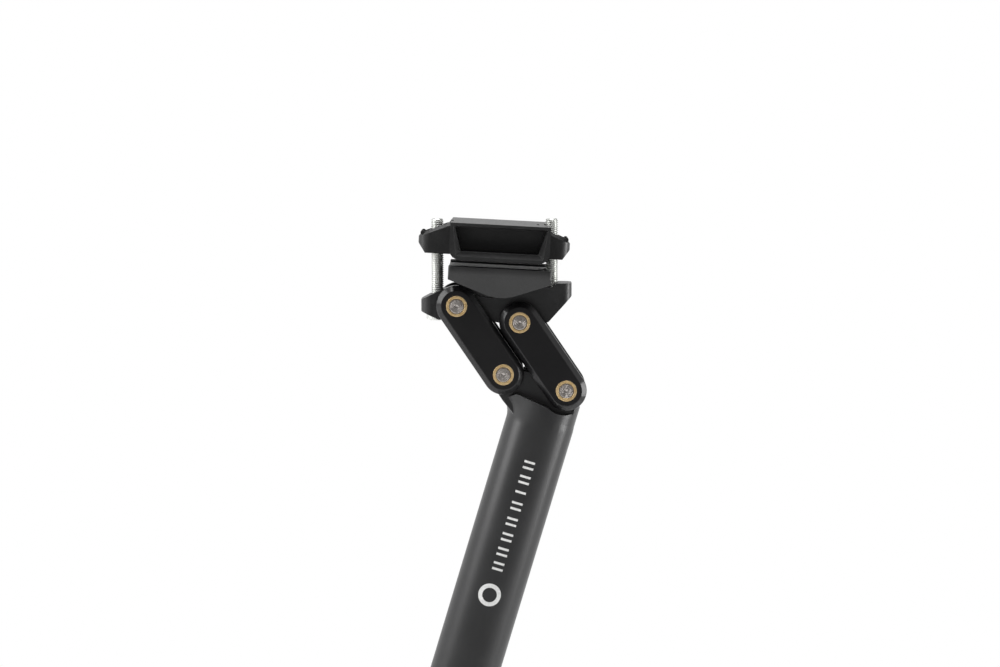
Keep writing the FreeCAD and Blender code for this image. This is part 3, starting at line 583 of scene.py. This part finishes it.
# Every other node: the edge radius that its sharp edges get.
machined("post", "post_shaft_and_head", 0.3 * MM)
machined("front_link", "front_link_body", 0.25 * MM)
machined("rear_link", "rear_link_body", 0.25 * MM)
machined("saddle_head", "saddle_head_block", 0.2 * MM, clamp=True)
machined("lower_rail_cradle", "lower_rail_cradle_body", 0.15 * MM, clamp=True)
machined("upper_rail_clamp", "upper_rail_clamp_body", 0.15 * MM, clamp=True)
machined("stop_bumper", "stop_bumper_block", 0.25 * MM)
for corner in PIVOTS:
    machined(f"{corner}_bushings", f"{corner}_bushing_pair", 0.12 * MM, segments=2)
    machined(f"{corner}_thrust_washers", f"{corner}_thrust_washer_pair", 0.06 * MM, segments=2)
for end in ("front", "rear"):
    machined(f"{end}_bolt_washer", f"{end}_washer_ring", 0.15 * MM, segments=2)
    machined(f"{end}_barrel_nut", f"{end}_barrel_nut_body", 0.25 * MM)
for level in ("lower", "upper"):
    machined(f"{level}_axle_screws", f"{level}_grub_screws", 0.12 * MM, segments=2)


# ---------------------------------------------------------------- camera, floor and light

LENS = 90.6
SENSOR = 36.0
CAMERA_DISTANCE = 1.0
CAMERA_HEIGHT_ANGLE = math.radians(4.9)
AIM = Vector((0, 0, 0.3024))
# How far the line of sight turns right of the aim point and below it.
AIM_RIGHT = 0.01855
AIM_BELOW = 0.02671
FLOOR_RADIUS = 0.5
FLOOR_DEPTH = 0.002
LINKAGE_MIDDLE = Vector((-0.02, 0, 0.33))

# The camera stands on the left side, rolled so that the post leans as it does in a bicycle.
forward = ACROSS * math.cos(CAMERA_HEIGHT_ANGLE) - HEAD_UP * math.sin(CAMERA_HEIGHT_ANGLE)
up = ACROSS * math.sin(CAMERA_HEIGHT_ANGLE) + HEAD_UP * math.cos(CAMERA_HEIGHT_ANGLE)
right = HEAD_REAR
eye = AIM - (forward + right * AIM_RIGHT - up * AIM_BELOW) * CAMERA_DISTANCE
camera_data = bpy.data.cameras.new("camera")
camera_data.lens = LENS
camera_data.sensor_width = SENSOR
camera = bpy.data.objects.new("camera", camera_data)
camera.matrix_world = Matrix.Translation(eye) @ Matrix((right, up, -forward)).transposed().to_4x4()
bpy.context.scene.collection.objects.link(camera)
bpy.context.scene.camera = camera

floor_mesh = bpy.data.meshes.new("floor")
floor_shape = bmesh.new()
bmesh.ops.create_circle(floor_shape, cap_ends=True, segments=96, radius=FLOOR_RADIUS)
floor_shape.to_mesh(floor_mesh)
floor_shape.free()
floor = bpy.data.objects.new("floor", floor_mesh)
floor.location = (0, 0, -FLOOR_DEPTH)
bpy.context.scene.collection.objects.link(floor)
paper = Shade("paper_floor", specular=0.2)
paper.colour(paper.mixed(paper.noise(12, 3), (0.86, 0.86, 0.86), (0.90, 0.90, 0.90)))
paper.shader.inputs["Roughness"].default_value = 0.8
floor_mesh.materials.append(paper.material)

world = bpy.data.worlds.new("studio")
bpy.context.scene.world = world
world.use_nodes = True
sky = world.node_tree


def sky_ranged(value, start, end, low, high):
    """A smooth step from low at start to high at end."""
    made = sky.nodes.new("ShaderNodeMapRange")
    made.interpolation_type = "SMOOTHSTEP"
    for socket, number in (("From Min", start), ("From Max", end), ("To Min", low), ("To Max", high)):
        made.inputs[socket].default_value = number
    sky.links.new(value, made.inputs["Value"])
    return made.outputs["Result"]


def sky_joined(operation, first, second):
    made = sky.nodes.new("ShaderNodeMath")
    made.operation = operation
    sky.links.new(first, made.inputs[0])
    sky.links.new(second, made.inputs[1])
    return made.outputs["Value"]


# The surroundings that the object reflects: bright behind it and below, dimmer on the left side
# and overhead. Seen directly, they are plain white.
around = sky.nodes.new("ShaderNodeTexCoord")
split = sky.nodes.new("ShaderNodeSeparateXYZ")
sky.links.new(around.outputs["Generated"], split.inputs["Vector"])
sideways = sky_ranged(split.outputs["Y"], start=-0.92, end=-0.2, low=0.22, high=0.9)
overhead = sky_ranged(split.outputs["Z"], start=0.35, end=0.95, low=1.0, high=0.25)
below = sky_ranged(split.outputs["Z"], start=-0.12, end=-0.45, low=0.0, high=1.8)
reflected = sky_joined("MAXIMUM", sky_joined("MULTIPLY", sideways, overhead), below)
path = sky.nodes.new("ShaderNodeLightPath")
seen = sky.nodes.new("ShaderNodeMix")
seen.inputs["B"].default_value = 1.0
sky.links.new(path.outputs["Is Camera Ray"], seen.inputs["Factor"])
sky.links.new(reflected, seen.inputs["A"])
background = sky.nodes["Background"]
background.inputs["Strength"].default_value = 1.0
sky.links.new(seen.outputs["Result"], background.inputs["Color"])


def softbox(name, place, size, power):
    """A rectangular light that faces the middle of the linkage."""
    data = bpy.data.lights.new(name, "AREA")
    data.shape = "RECTANGLE"
    data.size, data.size_y = size
    data.energy = power
    made = bpy.data.objects.new(name, data)
    turn = (LINKAGE_MIDDLE - Vector(place)).to_track_quat("-Z", "Y")
    made.matrix_world = Matrix.Translation(place) @ turn.to_matrix().to_4x4()
    bpy.context.scene.collection.objects.link(made)


softbox("top_light", place=(-0.35, -0.3, 1.35), size=(0.9, 0.7), power=14)
softbox("front_light", place=(-1.05, -0.18, 0.55), size=(0.5, 0.9), power=8)
softbox("rear_light", place=(1.05, -0.08, 0.6), size=(0.4, 0.9), power=9)

bpy.context.scene.view_settings.view_transform = "Standard"
